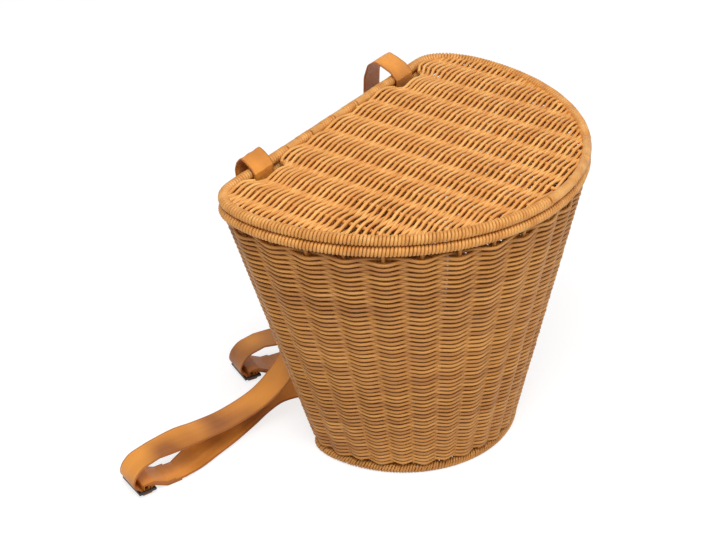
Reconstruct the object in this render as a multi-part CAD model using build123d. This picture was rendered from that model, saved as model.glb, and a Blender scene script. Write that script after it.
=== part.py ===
from build123d import *
from math import atan2, cos, degrees, hypot, radians, sin, sqrt
import os

# Wicker backpack: a woven D-plan basket with a woven lid hinged in two strap loops.
# Millimetres. Origin on the floor under the middle of the base, +X along the flat back,
# +Y towards the wearer's back, +Z up.

# Hoops: width, depth and the arcs of the D outline, measured on the hoop rods' centre line
HOOP_WIDTH = 340.0
HOOP_DEPTH = 219.2
CORNER_RADIUS = 28.4
CORNER_TURN = 69.0
SIDE_TURN = 20.8
ROD_RADIUS = 2.6
WHIPPING_RADIUS = 4.6
BODY_HOOP_HEIGHT = 253.6
HOOP_GAP = 0.3
SEAT_GAP = 0.3
ROD_CLEARANCE = 0.2

# Woven wall: stakes all round, a weaver spiralling up them, narrower towards the base
STAKE_COUNT = 31
STAKE_DIAMETER = 3.4
STRAND_DIAMETER = 3.0
WALL_TOP_SCALE = 0.978
WALL_FOOT_SCALE = 0.590
WALL_COURSES = 20
RIM_GAP = 3.0

# Foot border and base
BORDER_RADIUS = 4.3
BASE_THICKNESS = 6.0
BASE_COURSES = 12
BASE_STAKE_PITCH = 20.0

# Lid mat: stakes run from back to front, weavers from side to side
LID_STAKE_PITCH = 33.5
LID_COURSES = 20
LID_SLOT_LENGTH = 4.0
LID_SLOT_WIDTH = 1.8
LID_SLOT_REACH = 128.0
LID_SLOT_SPREAD = 0.84

# Webbing straps: the place of the top loops and lower ends, in stake pitches from the middle
WEBBING_WIDTH = 25.0
WEBBING_THICKNESS = 1.3
TOP_LOOP_BAY = 3.5
LOWER_END_BAY = 2.5
LOWER_END_HEIGHT = 26.0
LOWER_END_WIDTH = 14.0
LOWER_END_THICKNESS = 2.0
HEM_HEIGHT = 16.0
HEM_LAYERS = 3
NOTCH_CLEARANCE = 2.0
NOTCH_DEPTH = 9.6
STRAP_STEPS = 3
SPLICE = 1.0

# Top loops: height and bend radius of the webbing's places against the hoops and the wall
LOOP_INSIDE = 6.6
LOOP_INSIDE_TOP = 2.0
TIGHT_BEND = 1.5

# Loose stretch of each top loop: back and up from the lid hoop's axis, and bend radius
LEFT_LOOP = [(-3.6, 6.2, 8), (2.5, 10.8, 8), (6.8, 12.6, 1.6), (10.5, 8.0, 5)]
LEFT_LOOP += [(12.3, 1.6, 8), (11.6, -5.0, 30), (8.0, -28.0, 20)]
LEFT_JOINT = (-45.0, -62.0)
RIGHT_LOOP = [(0.5, 8.5, 9), (9.0, 12.0, 20), (17.0, 14.5, 3), (24.0, 9.5, 6), (27.8, -3.0, 20)]
RIGHT_LOOP += [(28.0, -18.0, 15), (24.0, -34.0, 15), (12.0, -47.0, 20), (0.0, -58.0, 12)]
RIGHT_JOINT = (-70.0, -84.0)

# Hanging stretch of each strap: place and direction across the webbing
LEFT_UPPER = [(-102, 112, 180, 0.85, 0.5, 0), (-90, 115, 150, 0.65, 0.75, 0)]
LEFT_UPPER += [(-74, 110, 122, 0.55, 0.83, 0), (-66, 106, 95, 0.45, 0.89, 0)]
LEFT_UPPER += [(-66, 105, 76, 0.36, 0.93, 0.02), (-71, 107, 62, 0.29, 0.96, 0.06)]
LEFT_UPPER += [(-81, 111, 48, 0.25, 0.96, 0.08), (-95, 116, 37, 0.27, 0.96, 0.05)]
LEFT_UPPER += [(-111, 121, 31, 0.26, 0.96, 0.04), (-137, 128, 28, 0.25, 0.97, 0.06)]
LEFT_UPPER += [(-163, 134, 30, 0.25, 0.96, 0.11), (-186, 139, 33, 0.27, 0.94, 0.2)]
RIGHT_UPPER = [(106, 106, 150, 0.9, 0.4, 0), (106, 110, 122, 0.75, 0.65, 0)]
RIGHT_UPPER += [(101, 111, 97, 0.6, 0.8, -0.05), (90, 112, 72, 0.52, 0.85, -0.04)]
RIGHT_UPPER += [(76, 117, 50, 0.47, 0.88, 0), (60, 125, 37, 0.46, 0.89, 0)]
RIGHT_UPPER += [(42, 134, 29, 0.45, 0.89, 0.03), (22, 144, 26, 0.45, 0.89, 0.06)]
RIGHT_UPPER += [(0, 155, 29, 0.46, 0.88, 0.1), (-15, 163, 32, 0.46, 0.88, 0.1)]

# Return stretch of each strap along the floor and up to the wall
LEFT_LOWER = [(-172, 136, 1.9, 0.38, 0.92, -0.03), (-154, 134, 2.6, 0.4, 0.91, -0.1)]
LEFT_LOWER += [(-131, 132, 4, 0.42, 0.9, -0.13), (-107, 132, 6, 0.45, 0.87, -0.17)]
LEFT_LOWER += [(-85, 131, 9, 0.5, 0.8, -0.27), (-66, 125, 14, 0.5, 0.68, -0.5)]
LEFT_LOWER += [(-52, 110, 20, 0.6, 0.45, -0.65)]
RIGHT_LOWER = [(10, 152, 2.2, 0.45, 0.89, 0), (28, 142, 5.2, 0.42, 0.86, 0.2)]
RIGHT_LOWER += [(41, 129, 9.8, 0.4, 0.7, 0.5), (48, 112, 14.5, 0.6, 0.5, 0.58)]
GATHER_START = 20.0
GATHER_END = 8.0
GATHER_DROP = 2.0
GATHER_TILT = 0.35

# Three-bar sliders: place of the middle bar and the way the loop's end points
LEFT_SLIDER = (-224.6, 152.5, 159.0)
RIGHT_SLIDER = (-42.7, 178.2, 153.0)
SLIDER_WIDTH = 33.0
SLIDER_BAR = 2.4
SLIDER_SLOT = 4.6
SLIDER_THICKNESS = 2.4
SLIDER_HEIGHT = 5.2
SLIDER_ROUND = 1.5

# The webbing at a slider: ends of its layers, its climb from the floor and its bends
TAIL_END = 34.0
SEWN_END = 28.0
BAND_END = 38.0
CLIMB_LENGTH = 12.1
CLIMB_BEND = 6.0
BAR_BEND = 1.0
EDGE_BEND = 2.0
TURN_FOOT = 0.5
TURN_FOOT_BEND = 2.5
# The upper webbing's turn: outward and up from the middle bar, and bend radius
UPPER_TURN = [(11.2, 6.5, 5), (10.0, 15.5, 6), (2.0, 23.5, 8), (-14.0, 27.5, 0)]

# Values that follow from the sizes above
LID_HOOP_HEIGHT = BODY_HOOP_HEIGHT + 2 * WHIPPING_RADIUS + HOOP_GAP
WALL_FOOT = 2 * BORDER_RADIUS + SEAT_GAP
WALL_TOP = BODY_HOOP_HEIGHT - WHIPPING_RADIUS - RIM_GAP
BACK = HOOP_DEPTH / 2
STAKE_OUT = STAKE_DIAMETER / 2
FLOAT_OUT = STAKE_DIAMETER / 2 + STRAND_DIAMETER
CROSSING_OUT = STRAND_DIAMETER / 2
MAT_EDGE = WHIPPING_RADIUS + SEAT_GAP
SMALL = 1e-6


def half_rim(inset=0.0):
    """The right half of the D outline, as edges from the middle of the back to the front."""
    s1 = sin(radians(CORNER_TURN))
    c1 = cos(radians(CORNER_TURN))
    s12 = sin(radians(CORNER_TURN + SIDE_TURN))
    c12 = cos(radians(CORNER_TURN + SIDE_TURN))
    half = HOOP_WIDTH / 2
    front_share = (1 + c12) / s12
    side_factor = (c1 - c12) - front_share * (1 - s12)
    side_radius = (HOOP_DEPTH - CORNER_RADIUS * (1 - c1) - front_share * half) / side_factor
    front_radius = (half - side_radius * (1 - s12)) / s12
    straight = half - CORNER_RADIUS * s1 - side_radius * (1 - s1)
    back = Line((0, BACK - inset), (straight, BACK - inset))
    corner = JernArc(back @ 1, back % 1, CORNER_RADIUS - inset, -CORNER_TURN)
    side = JernArc(corner @ 1, corner % 1, side_radius - inset, -SIDE_TURN)
    front_turn = 180 - CORNER_TURN - SIDE_TURN
    front = JernArc(side @ 1, side % 1, front_radius - inset, -front_turn)
    return [back, corner, side, front]


def hoop_outline(inset=0.0, factor=1.0):
    """The whole D outline as one closed wire."""
    right_half = Curve() + half_rim(inset)
    edges = right_half.edges() + mirror(right_half, about=Plane.YZ).edges()
    return Wire.combine(scale(Curve() + edges, by=factor).edges())[0]


def rim_length():
    """The whole length of the hoops' centre line."""
    return 2 * sum(edge.length for edge in half_rim())


def rim_place(distance):
    """A place on the right half of the rim and its outward direction."""
    for edge in half_rim():
        if distance <= edge.length + SMALL:
            break
        distance -= edge.length
    share = min(distance / edge.length, 1)
    along = edge % share
    return edge @ share, Vector(-along.Y, along.X, 0)


def rim_stations(count):
    """Even places round the rim from the middle of the back, with outward directions."""
    stations = []
    for index in range(count):
        distance = rim_length() * min(index, count - index) / count
        place, outward = rim_place(distance)
        if 2 * index > count:
            place = Vector(-place.X, place.Y, 0)
            outward = Vector(-outward.X, outward.Y, 0)
        stations.append((place, outward))
    return stations


def wall_scale(height):
    """How much smaller than the hoop the wall is at a height."""
    share = (height - WALL_FOOT) / (WALL_TOP - WALL_FOOT)
    return WALL_FOOT_SCALE + (WALL_TOP_SCALE - WALL_FOOT_SCALE) * share


def wall_back(height):
    """How far back the wall's middle surface stands at a height."""
    return BACK * wall_scale(height)


def triangle(first, second, third):
    """A flat three-sided face."""
    return Face(Wire.make_polygon([first, second, third], close=True))


def wall_point(stations, step, side):
    """A corner of the wall's faces; step counts half bays along the spiral."""
    course, index = divmod(step, len(stations))
    course_height = (WALL_TOP - WALL_FOOT) / (WALL_COURSES + 2)
    height = WALL_FOOT + course_height * (0.5 + step / len(stations))
    if index % 2:
        out = CROSSING_OUT
    else:
        stake_passed = STAKE_COUNT * course + index // 2
        weaver_outside = stake_passed % 2 == 0
        out = FLOAT_OUT if weaver_outside == (side > 0) else STAKE_OUT
    place, outward = stations[index]
    spot = place * wall_scale(height) + outward * (side * out)
    return (spot.X, spot.Y, height)


def ring_point(stations, index, side, height):
    """A corner of the wall's level top or bottom edge."""
    place, outward = stations[index % len(stations)]
    spot = place * wall_scale(height) + outward * (side * CROSSING_OUT)
    return (spot.X, spot.Y, height)


def wall_skin(stations, side):
    """One face of the weave: ridged courses between a level foot and a level top."""
    count = len(stations)
    faces = []
    for step in range(WALL_COURSES * count):
        low = wall_point(stations, step, side)
        low_next = wall_point(stations, step + 1, side)
        high = wall_point(stations, step + count, side)
        high_next = wall_point(stations, step + count + 1, side)
        faces += [triangle(low, low_next, high_next), triangle(low, high_next, high)]
    last = WALL_COURSES * count
    for index in range(count):
        low = ring_point(stations, index, side, WALL_FOOT)
        low_next = ring_point(stations, index + 1, side, WALL_FOOT)
        first = wall_point(stations, index, side)
        first_next = wall_point(stations, index + 1, side)
        faces += [triangle(low, low_next, first_next), triangle(low, first_next, first)]
        high = ring_point(stations, index, side, WALL_TOP)
        high_next = ring_point(stations, index + 1, side, WALL_TOP)
        end = wall_point(stations, last + index, side)
        end_next = wall_point(stations, last + index + 1, side)
        faces += [triangle(end, end_next, high_next), triangle(end, high_next, high)]
    foot_corner = ring_point(stations, 0, side, WALL_FOOT)
    start = wall_point(stations, 0, side)
    start_over = wall_point(stations, count, side)
    faces.append(triangle(foot_corner, start, start_over))
    top_corner = ring_point(stations, 0, side, WALL_TOP)
    stop = wall_point(stations, last, side)
    stop_over = wall_point(stations, last + count, side)
    faces.append(triangle(stop, stop_over, top_corner))
    return faces


def wall_edge(stations, height):
    """The level ring that closes the wall at its foot or top."""
    outer = [ring_point(stations, index, 1, height) for index in range(len(stations))]
    inner = [ring_point(stations, index, -1, height) for index in range(len(stations))]
    hole = Wire.make_polygon(inner, close=True)
    return Face(Wire.make_polygon(outer, close=True), [hole])


def wall_stubs(stations):
    """The stake ends that show in the gap under the rim."""
    stubs = []
    reach = WHIPPING_RADIUS + SEAT_GAP
    for place, outward in stations[::2]:
        inset = place.dot(outward) * (1 - wall_scale(WALL_TOP)) - STAKE_DIAMETER / 2
        stub_top = BODY_HOOP_HEIGHT - sqrt(reach ** 2 - max(inset, 0) ** 2)
        spot = place * wall_scale(WALL_TOP)
        sunk = STAKE_DIAMETER / 2
        profile = RegularPolygon(STAKE_DIAMETER / 2, 6)
        stub = extrude(profile, stub_top - WALL_TOP + sunk)
        stubs.append(Pos(spot.X, spot.Y, WALL_TOP - sunk) * stub)
    return stubs


def bay_place(bays, height):
    """How far to the side of the middle a bay of the back wall lies at a height."""
    return bays * wall_scale(height) * rim_length() / STAKE_COUNT


def top_loop_side():
    """How far to the side of the middle a strap's top loop lies."""
    return bay_place(TOP_LOOP_BAY, WALL_TOP)


def lower_end_side():
    """How far to the side of the middle a strap's lower end lies."""
    return bay_place(LOWER_END_BAY, LOWER_END_HEIGHT)


def strap_passage(side):
    """The space that the lower end of a strap takes through the wall."""
    wide = LOWER_END_WIDTH + 2 * SEAT_GAP
    high = LOWER_END_THICKNESS + 4 * SEAT_GAP
    deep = 6 * FLOAT_OUT
    spot = Pos(side * lower_end_side(), wall_back(LOWER_END_HEIGHT), LOWER_END_HEIGHT)
    return spot * Box(wide, deep, high)


def make_wall():
    """The woven wall as one closed shell, with the stake ends on its top edge."""
    stations = rim_stations(2 * STAKE_COUNT)
    faces = wall_skin(stations, 1) + wall_skin(stations, -1)
    faces += [wall_edge(stations, WALL_FOOT), wall_edge(stations, WALL_TOP)]
    wall = Solid(Shell(faces))
    wall = wall.fuse(*wall_stubs(stations))
    return wall.cut(strap_passage(-1), strap_passage(1))


def ring(outline, height, outer, inner=0.0):
    """A rod, or a sleeve where inner is given, that follows an outline."""
    section = Plane.YZ * RegularPolygon(outer, 8)
    if inner:
        section -= Plane.YZ * RegularPolygon(inner, 8)
    start = outline.edges().sort_by_distance((0, BACK, 0))[0]
    middle_back = (0, (start @ 0).Y, 0)
    return Pos(0, 0, height) * sweep(Pos(*middle_back) * section, path=outline)


def woven_mat(half_width, half_depth, pitch, courses, middle, flat_below=None):
    """A rectangular mat: stakes along Y, ridged courses along X."""
    columns = 2 * int(half_width / pitch + 1)
    depth = 2 * half_depth / courses

    def corner(column, row, side):
        out = CROSSING_OUT
        if column % 2 == 0:
            weaver_above = (column // 2 + row) % 2 == 0
            out = FLOAT_OUT if weaver_above == (side > 0) else STAKE_OUT
        if flat_below is not None and side < 0:
            return (column * pitch / 2, row * depth - half_depth, flat_below)
        return (column * pitch / 2, row * depth - half_depth, middle + side * out)

    faces = []
    for side in (1, -1):
        for column in range(-columns, columns):
            for row in range(courses):
                low = corner(column, row, side)
                low_next = corner(column + 1, row, side)
                high = corner(column, row + 1, side)
                high_next = corner(column + 1, row + 1, side)
                faces += [triangle(low, low_next, high_next), triangle(low, high_next, high)]
    for column in range(-columns, columns):
        for row in (0, courses):
            rim = [corner(column, row, -1), corner(column + 1, row, -1)]
            rim += [corner(column + 1, row, 1), corner(column, row, 1)]
            faces += [triangle(*rim[:3]), triangle(rim[0], rim[2], rim[3])]
    for column in (-columns, columns):
        for row in range(courses):
            rim = [corner(column, row, -1), corner(column, row + 1, -1)]
            rim += [corner(column, row + 1, 1), corner(column, row, 1)]
            faces += [triangle(*rim[:3]), triangle(rim[0], rim[2], rim[3])]
    return Solid(Shell(faces))


def lid_slots():
    """The see-through gaps on both sides of each lid stake, where the weavers cross."""
    slots = []
    depth = HOOP_DEPTH / LID_COURSES
    stakes = int(LID_SLOT_REACH / LID_STAKE_PITCH)
    aside = STAKE_DIAMETER / 2 + LID_SLOT_LENGTH / 2 + SEAT_GAP
    cutter = Box(LID_SLOT_LENGTH, LID_SLOT_WIDTH, 4 * FLOAT_OUT)
    for stake in range(-stakes, stakes + 1):
        for course in range(2, LID_COURSES - 1, 2):
            if (course // 2 + stake) % 2 == 0:
                continue
            for hand in (-1, 1):
                spot_x = stake * LID_STAKE_PITCH + hand * aside
                spot_y = course * depth - HOOP_DEPTH / 2
                from_back = (BACK - spot_y) / HOOP_DEPTH
                if hypot(2 * spot_x / HOOP_WIDTH, from_back) < LID_SLOT_SPREAD:
                    slots.append(Pos(spot_x, spot_y, LID_HOOP_HEIGHT) * cutter)
    return slots


def lid_notch(side):
    """The cut at the lid mat's back edge that a strap loop comes up through."""
    wide = WEBBING_WIDTH + 2 * NOTCH_CLEARANCE
    middle = BACK - MAT_EDGE - NOTCH_DEPTH / 2
    spot = Pos(side * top_loop_side(), middle + SEAT_GAP, LID_HOOP_HEIGHT)
    return spot * Box(wide, NOTCH_DEPTH + 2 * SEAT_GAP, 4 * FLOAT_OUT)


def make_lid_panel():
    """The lid mat, cut to the D inside its hoop."""
    mat = woven_mat(HOOP_WIDTH / 2, HOOP_DEPTH / 2, LID_STAKE_PITCH, LID_COURSES, LID_HOOP_HEIGHT)
    outline = make_face(hoop_outline(inset=MAT_EDGE))
    blank = Pos(0, 0, LID_HOOP_HEIGHT - 2 * FLOAT_OUT) * extrude(outline, 4 * FLOAT_OUT)
    panel = mat & blank
    return panel.solid().cut(lid_notch(-1), lid_notch(1), *lid_slots())


def make_base_panel():
    """The woven base, flat underneath and ridged inside."""
    scale_at_foot = WALL_FOOT_SCALE
    half_width = scale_at_foot * HOOP_WIDTH / 2
    half_depth = scale_at_foot * HOOP_DEPTH / 2
    middle = BASE_THICKNESS - FLOAT_OUT
    mat = woven_mat(half_width, half_depth, BASE_STAKE_PITCH, BASE_COURSES, middle, 0.0)
    inset = (BORDER_RADIUS + SEAT_GAP) / scale_at_foot
    outline = hoop_outline(inset, scale_at_foot)
    blank = extrude(make_face(outline), 2 * BASE_THICKNESS)
    return (mat & blank).solid()


def smooth_row(rows, steps):
    """Rows of numbers joined by a smooth curve through each of them."""
    result = []
    for index in range(len(rows) - 1):
        before = rows[max(index - 1, 0)]
        here = rows[index]
        there = rows[index + 1]
        after = rows[min(index + 2, len(rows) - 1)]
        for step in range(steps):
            share = step / steps
            row = []
            for a, b, c, d in zip(before, here, there, after):
                bend = (2 * a - 5 * b + 4 * c - d) * share ** 2
                twist = (3 * b - a - 3 * c + d) * share ** 3
                row.append(b + ((c - a) * share + bend + twist) / 2)
            result.append(tuple(row))
    return result + [tuple(rows[-1])]


def ribbon(route):
    """Webbing through a route of rows: place, direction across, width, thickness."""
    rows = smooth_row(route, STRAP_STEPS)
    sections = []
    for index, row in enumerate(rows):
        place = Vector(*row[:3])
        ahead = Vector(*rows[min(index + 1, len(rows) - 1)][:3])
        behind = Vector(*rows[max(index - 1, 0)][:3])
        along = (ahead - behind).normalized()
        across = Vector(*row[3:6])
        across = (across - along * across.dot(along)).normalized()
        plane = Plane(origin=place, x_dir=across, z_dir=along)
        sections.append(plane * Rectangle(row[6], row[7]))
    return loft(sections, ruled=True)


def band(plane, line):
    """Webbing that bends in one plane only: two halves of a traced line given their width."""
    edges = line.edges()
    middle = len(edges) // 2
    halves = []
    for part in (edges[:middle], edges[middle:]):
        profile = plane * trace(part, WEBBING_THICKNESS)
        halves.append(extrude(profile, WEBBING_WIDTH / 2, both=True).solid())
    return halves[0].fuse(halves[1])


def bent_line(rows):
    """A line through rows of place and bend radius; the end rows have no bend."""
    points = [row[:2] for row in rows]
    return FilletPolyline(*points, radius=[row[2] for row in rows[1:-1]])


def on_wall(height, layer):
    """How far back the webbing lies on the wall; layer 0 touches the weave."""
    return wall_back(height) + FLOAT_OUT + SEAT_GAP + (layer + 0.5) * WEBBING_THICKNESS


def top_loop(side, loose, joint):
    """The loop through rim gap and lid, its end sewn to the strap behind the wall."""
    gap_middle = BODY_HOOP_HEIGHT - WHIPPING_RADIUS - RIM_GAP / 2
    joint_top = LID_HOOP_HEIGHT + joint[0]
    joint_foot = LID_HOOP_HEIGHT + joint[1]
    inside = BACK - LOOP_INSIDE
    rows = [(on_wall(joint_foot, 0), joint_foot, 0)]
    rows += [(on_wall(gap_middle, 0), gap_middle, TIGHT_BEND), (inside, gap_middle, TIGHT_BEND)]
    rows += [(inside, LID_HOOP_HEIGHT + LOOP_INSIDE_TOP, TIGHT_BEND)]
    rows += [(BACK + back, LID_HOOP_HEIGHT + up, bend) for back, up, bend in loose]
    rows += [(on_wall(joint_top, 1), joint_top, TIGHT_BEND), (on_wall(joint_foot, 1), joint_foot, 0)]
    return band(Plane.YZ.offset(side * top_loop_side()), bent_line(rows))


def slider_plane(slider):
    """The upright plane along the loop's end: X outwards, Y up, through the middle bar."""
    x, y, heading = slider
    outwards = Vector(cos(radians(heading)), sin(radians(heading)), 0)
    return Plane(origin=(x, y, SLIDER_HEIGHT), x_dir=outwards, z_dir=outwards.cross(Vector(0, 0, 1)))


def thread_levels():
    """Middle lines of the two webbing layers round a slider's middle bar."""
    first = SLIDER_BAR / 2 + SEAT_GAP + WEBBING_THICKNESS / 2
    second = first + WEBBING_THICKNESS + SEAT_GAP
    return first, second


def climb_places():
    """Where webbing leaves the floor and reaches a slider's first bar, and the floor's level."""
    bar_edge = -(SLIDER_BAR / 2 + SLIDER_SLOT + SLIDER_BAR)
    return bar_edge - CLIMB_LENGTH, bar_edge, WEBBING_THICKNESS - SLIDER_HEIGHT


def upper_threading(slider):
    """The upper webbing's end: turn, down the outer slot, up the inner one, and its tail."""
    first, second = thread_levels()
    climb, bar_edge, floor = climb_places()
    inner = SLIDER_BAR / 2 + SLIDER_SLOT - SEAT_GAP - WEBBING_THICKNESS / 2
    outer = second + SEAT_GAP / 2
    rows = [(-TAIL_END, floor, 0), (climb, floor, CLIMB_BEND), (bar_edge, first, EDGE_BEND)]
    rows += [(-inner, first, BAR_BEND), (-inner, -second, BAR_BEND), (outer, -second, BAR_BEND)]
    rows += [(outer, TURN_FOOT, TURN_FOOT_BEND)] + UPPER_TURN
    return band(slider_plane(slider), bent_line(rows))


def lower_threading(slider):
    """The lower webbing's end: round the middle bar and sewn back onto itself."""
    first, second = thread_levels()
    climb, bar_edge, floor = climb_places()
    over_tail = floor + WEBBING_THICKNESS + SEAT_GAP
    sewn = second + WEBBING_THICKNESS
    sewn_foot = over_tail + WEBBING_THICKNESS
    rows = [(-BAND_END, over_tail, 0), (climb, over_tail, CLIMB_BEND)]
    rows += [(bar_edge, second, EDGE_BEND), (-first, second, BAR_BEND)]
    rows += [(-first, -first, BAR_BEND), (first, -first, BAR_BEND), (first, sewn, BAR_BEND)]
    rows += [(bar_edge, sewn, EDGE_BEND), (climb, sewn_foot, CLIMB_BEND)]
    rows += [(-SEWN_END, sewn_foot, 0)]
    return band(slider_plane(slider), bent_line(rows))


def make_slider(slider):
    """A flat three-bar slider."""
    length = 3 * SLIDER_BAR + 2 * SLIDER_SLOT
    upright = slider_plane(slider)
    level = Plane(origin=upright.origin, x_dir=upright.x_dir, z_dir=(0, 0, 1))
    plate = Box(length, SLIDER_WIDTH, SLIDER_THICKNESS)
    plate = fillet(plate.edges().filter_by(Axis.Z), SLIDER_ROUND)
    slot = Box(SLIDER_SLOT, WEBBING_WIDTH + 4 * SEAT_GAP, 2 * SLIDER_THICKNESS)
    aside = (SLIDER_BAR + SLIDER_SLOT) / 2
    return level * (plate - Pos(-aside, 0, 0) * slot - Pos(aside, 0, 0) * slot)


def make_upper_strap(side, loose, joint, hanging, slider):
    """The upper webbing from its top loop to its tail through the slider."""
    foot = LID_HOOP_HEIGHT + joint[1] + SPLICE
    middle = side * top_loop_side()
    size = (WEBBING_WIDTH, WEBBING_THICKNESS)
    plane = slider_plane(slider)
    turn_end, turn_top, _ = UPPER_TURN[-1]
    end = plane.from_local_coords(Vector(turn_end + SPLICE, turn_top - SPLICE / 4, 0))
    heading = radians(slider[2])
    route = [(middle, on_wall(foot, 1), foot, 1, 0, 0) + size]
    route += [tuple(row) + size for row in hanging]
    route += [(end.X, end.Y, end.Z, sin(heading), -cos(heading), 0) + size]
    return top_loop(side, loose, joint).fuse(ribbon(route), upper_threading(slider))


def make_lower_strap(side, lying, slider):
    """The lower webbing from the slider to its hem inside the wall."""
    size = (WEBBING_WIDTH, WEBBING_THICKNESS)
    small = (LOWER_END_WIDTH, LOWER_END_THICKNESS)
    half_gathered = ((WEBBING_WIDTH + LOWER_END_WIDTH) / 2, (WEBBING_THICKNESS + LOWER_END_THICKNESS) / 2)
    over_tail = 2 * WEBBING_THICKNESS + SEAT_GAP - SLIDER_HEIGHT
    start = slider_plane(slider).from_local_coords(Vector(SPLICE - BAND_END, over_tail, 0))
    heading = radians(slider[2])
    middle = side * lower_end_side()
    wall = wall_back(LOWER_END_HEIGHT)
    inner = wall - FLOAT_OUT - SEAT_GAP
    route = [(start.X, start.Y, start.Z, sin(heading), -cos(heading), 0) + size]
    route += [tuple(row) + size for row in lying]
    gather = (middle, wall + GATHER_START, LOWER_END_HEIGHT - GATHER_DROP, 1, 0, -side * GATHER_TILT)
    route += [gather + half_gathered]
    route += [(middle, wall + GATHER_END, LOWER_END_HEIGHT, 1, 0, 0) + small]
    route += [(middle, inner - 2 * SPLICE, LOWER_END_HEIGHT, 1, 0, 0) + small]
    hem_thickness = HEM_LAYERS * WEBBING_THICKNESS
    hem = Box(WEBBING_WIDTH, hem_thickness, HEM_HEIGHT)
    rise = WALL_TOP - WALL_FOOT
    lean = degrees(atan2(wall_back(WALL_TOP) - wall_back(WALL_FOOT), rise))
    hem = Pos(middle, inner - SEAT_GAP - hem_thickness / 2, LOWER_END_HEIGHT) * Rot(X=-lean) * hem
    return lower_threading(slider).fuse(ribbon(route), hem)


def main():
    """Build each piece and write it to its own file."""
    os.makedirs("parts", exist_ok=True)
    rim = hoop_outline()
    sleeve = ROD_RADIUS + ROD_CLEARANCE
    foot = hoop_outline(factor=WALL_FOOT_SCALE)
    pieces = {
        "wall": make_wall(),
        "body_hoop": ring(rim, BODY_HOOP_HEIGHT, ROD_RADIUS),
        "body_whipping": ring(rim, BODY_HOOP_HEIGHT, WHIPPING_RADIUS, sleeve),
        "base_panel": make_base_panel(),
        "foot_border": ring(foot, BORDER_RADIUS, BORDER_RADIUS),
        "lid_panel": make_lid_panel(),
        "lid_hoop": ring(rim, LID_HOOP_HEIGHT, ROD_RADIUS),
        "lid_whipping": ring(rim, LID_HOOP_HEIGHT, WHIPPING_RADIUS, sleeve),
        "strap_left_upper": make_upper_strap(-1, LEFT_LOOP, LEFT_JOINT, LEFT_UPPER, LEFT_SLIDER),
        "strap_left_lower": make_lower_strap(-1, LEFT_LOWER, LEFT_SLIDER),
        "slider_left": make_slider(LEFT_SLIDER),
        "strap_right_upper": make_upper_strap(1, RIGHT_LOOP, RIGHT_JOINT, RIGHT_UPPER, RIGHT_SLIDER),
        "strap_right_lower": make_lower_strap(1, RIGHT_LOWER, RIGHT_SLIDER),
        "slider_right": make_slider(RIGHT_SLIDER),
    }
    for node, solid in pieces.items():
        export_step(solid, f"parts/{node}.step")


if __name__ == "__main__":
    main()
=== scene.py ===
"""Wicker backpack: woven strands, whippings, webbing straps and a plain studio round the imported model."""

import logging
import math
from collections.abc import Callable
from dataclasses import dataclass, field
from enum import Enum
from functools import cached_property

import bpy
from bpy.types import Material, Node, NodeSocket, NodeTree, Object, Scene
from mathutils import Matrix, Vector, noise


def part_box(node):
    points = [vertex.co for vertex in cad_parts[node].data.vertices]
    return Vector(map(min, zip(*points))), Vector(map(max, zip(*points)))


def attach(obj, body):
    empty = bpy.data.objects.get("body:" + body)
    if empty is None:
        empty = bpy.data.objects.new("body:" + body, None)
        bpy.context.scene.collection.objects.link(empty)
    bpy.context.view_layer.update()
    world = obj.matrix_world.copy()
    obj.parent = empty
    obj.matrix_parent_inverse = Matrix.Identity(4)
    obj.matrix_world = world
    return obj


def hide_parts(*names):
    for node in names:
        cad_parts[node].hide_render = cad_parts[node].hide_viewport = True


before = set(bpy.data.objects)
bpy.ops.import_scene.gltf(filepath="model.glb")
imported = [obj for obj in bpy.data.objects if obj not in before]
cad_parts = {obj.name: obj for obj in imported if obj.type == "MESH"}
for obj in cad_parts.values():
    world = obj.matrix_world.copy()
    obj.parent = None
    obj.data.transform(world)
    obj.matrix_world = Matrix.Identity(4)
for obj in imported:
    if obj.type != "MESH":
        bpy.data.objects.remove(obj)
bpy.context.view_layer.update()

MM = 0.001
LOG = logging.getLogger("wicker_backpack")

# Hoops: width and depth of the rods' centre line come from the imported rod, the arcs from its maker
ROD_RADIUS = 2.6 * MM
CORNER_RADIUS = 28.4 * MM
CORNER_TURN = 69.0
SIDE_TURN = 20.8
WHIPPING_RADIUS = 4.6 * MM

# Woven wall
STAKE_COUNT = 31
STAKE_DIAMETER = 3.4 * MM
STRAND_DIAMETER = 3.0 * MM
WALL_TOP_SCALE = 0.978
WALL_FOOT_SCALE = 0.590
WALL_ROWS = 105
RIM_GAP = 3.0 * MM
BORDER_RADIUS = 4.3 * MM
SEAT_GAP = 0.3 * MM
FLOAT_OUT = 4.7 * MM

# Lid mat
LID_STAKE_PITCH = 33.5 * MM
LID_ROWS = 82

# Webbing
WEBBING_WIDTH = 25.0 * MM
WEBBING_THICKNESS = 1.3 * MM
TOP_LOOP_BAY = 3.5
LOWER_END_BAY = 2.5
LOWER_END_HEIGHT = 26.0 * MM
LOWER_END_WIDTH = 14.0 * MM

# Sliders: three bars round two slots, lying on the floor
SLIDER_BAR = 2.4 * MM
SLIDER_SLOT = 4.6 * MM
SLIDER_WIDTH = 30.0 * MM
SLIDER_INSIDE = 26.0 * MM
SLIDER_THICKNESS = 2.4 * MM
SLIDER_HEIGHT = 5.2 * MM


class Body(Enum):
    """The parts that move against each other."""

    BASKET = "basket"
    LID = "lid"


class Slot(Enum):
    """The record's material slots."""

    WEAVE = "weave"
    LID_WEAVE = "lid_weave"
    WHIPPING = "whipping"
    ROD = "rod"
    WEBBING = "webbing"
    SLIDER = "slider"


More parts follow.
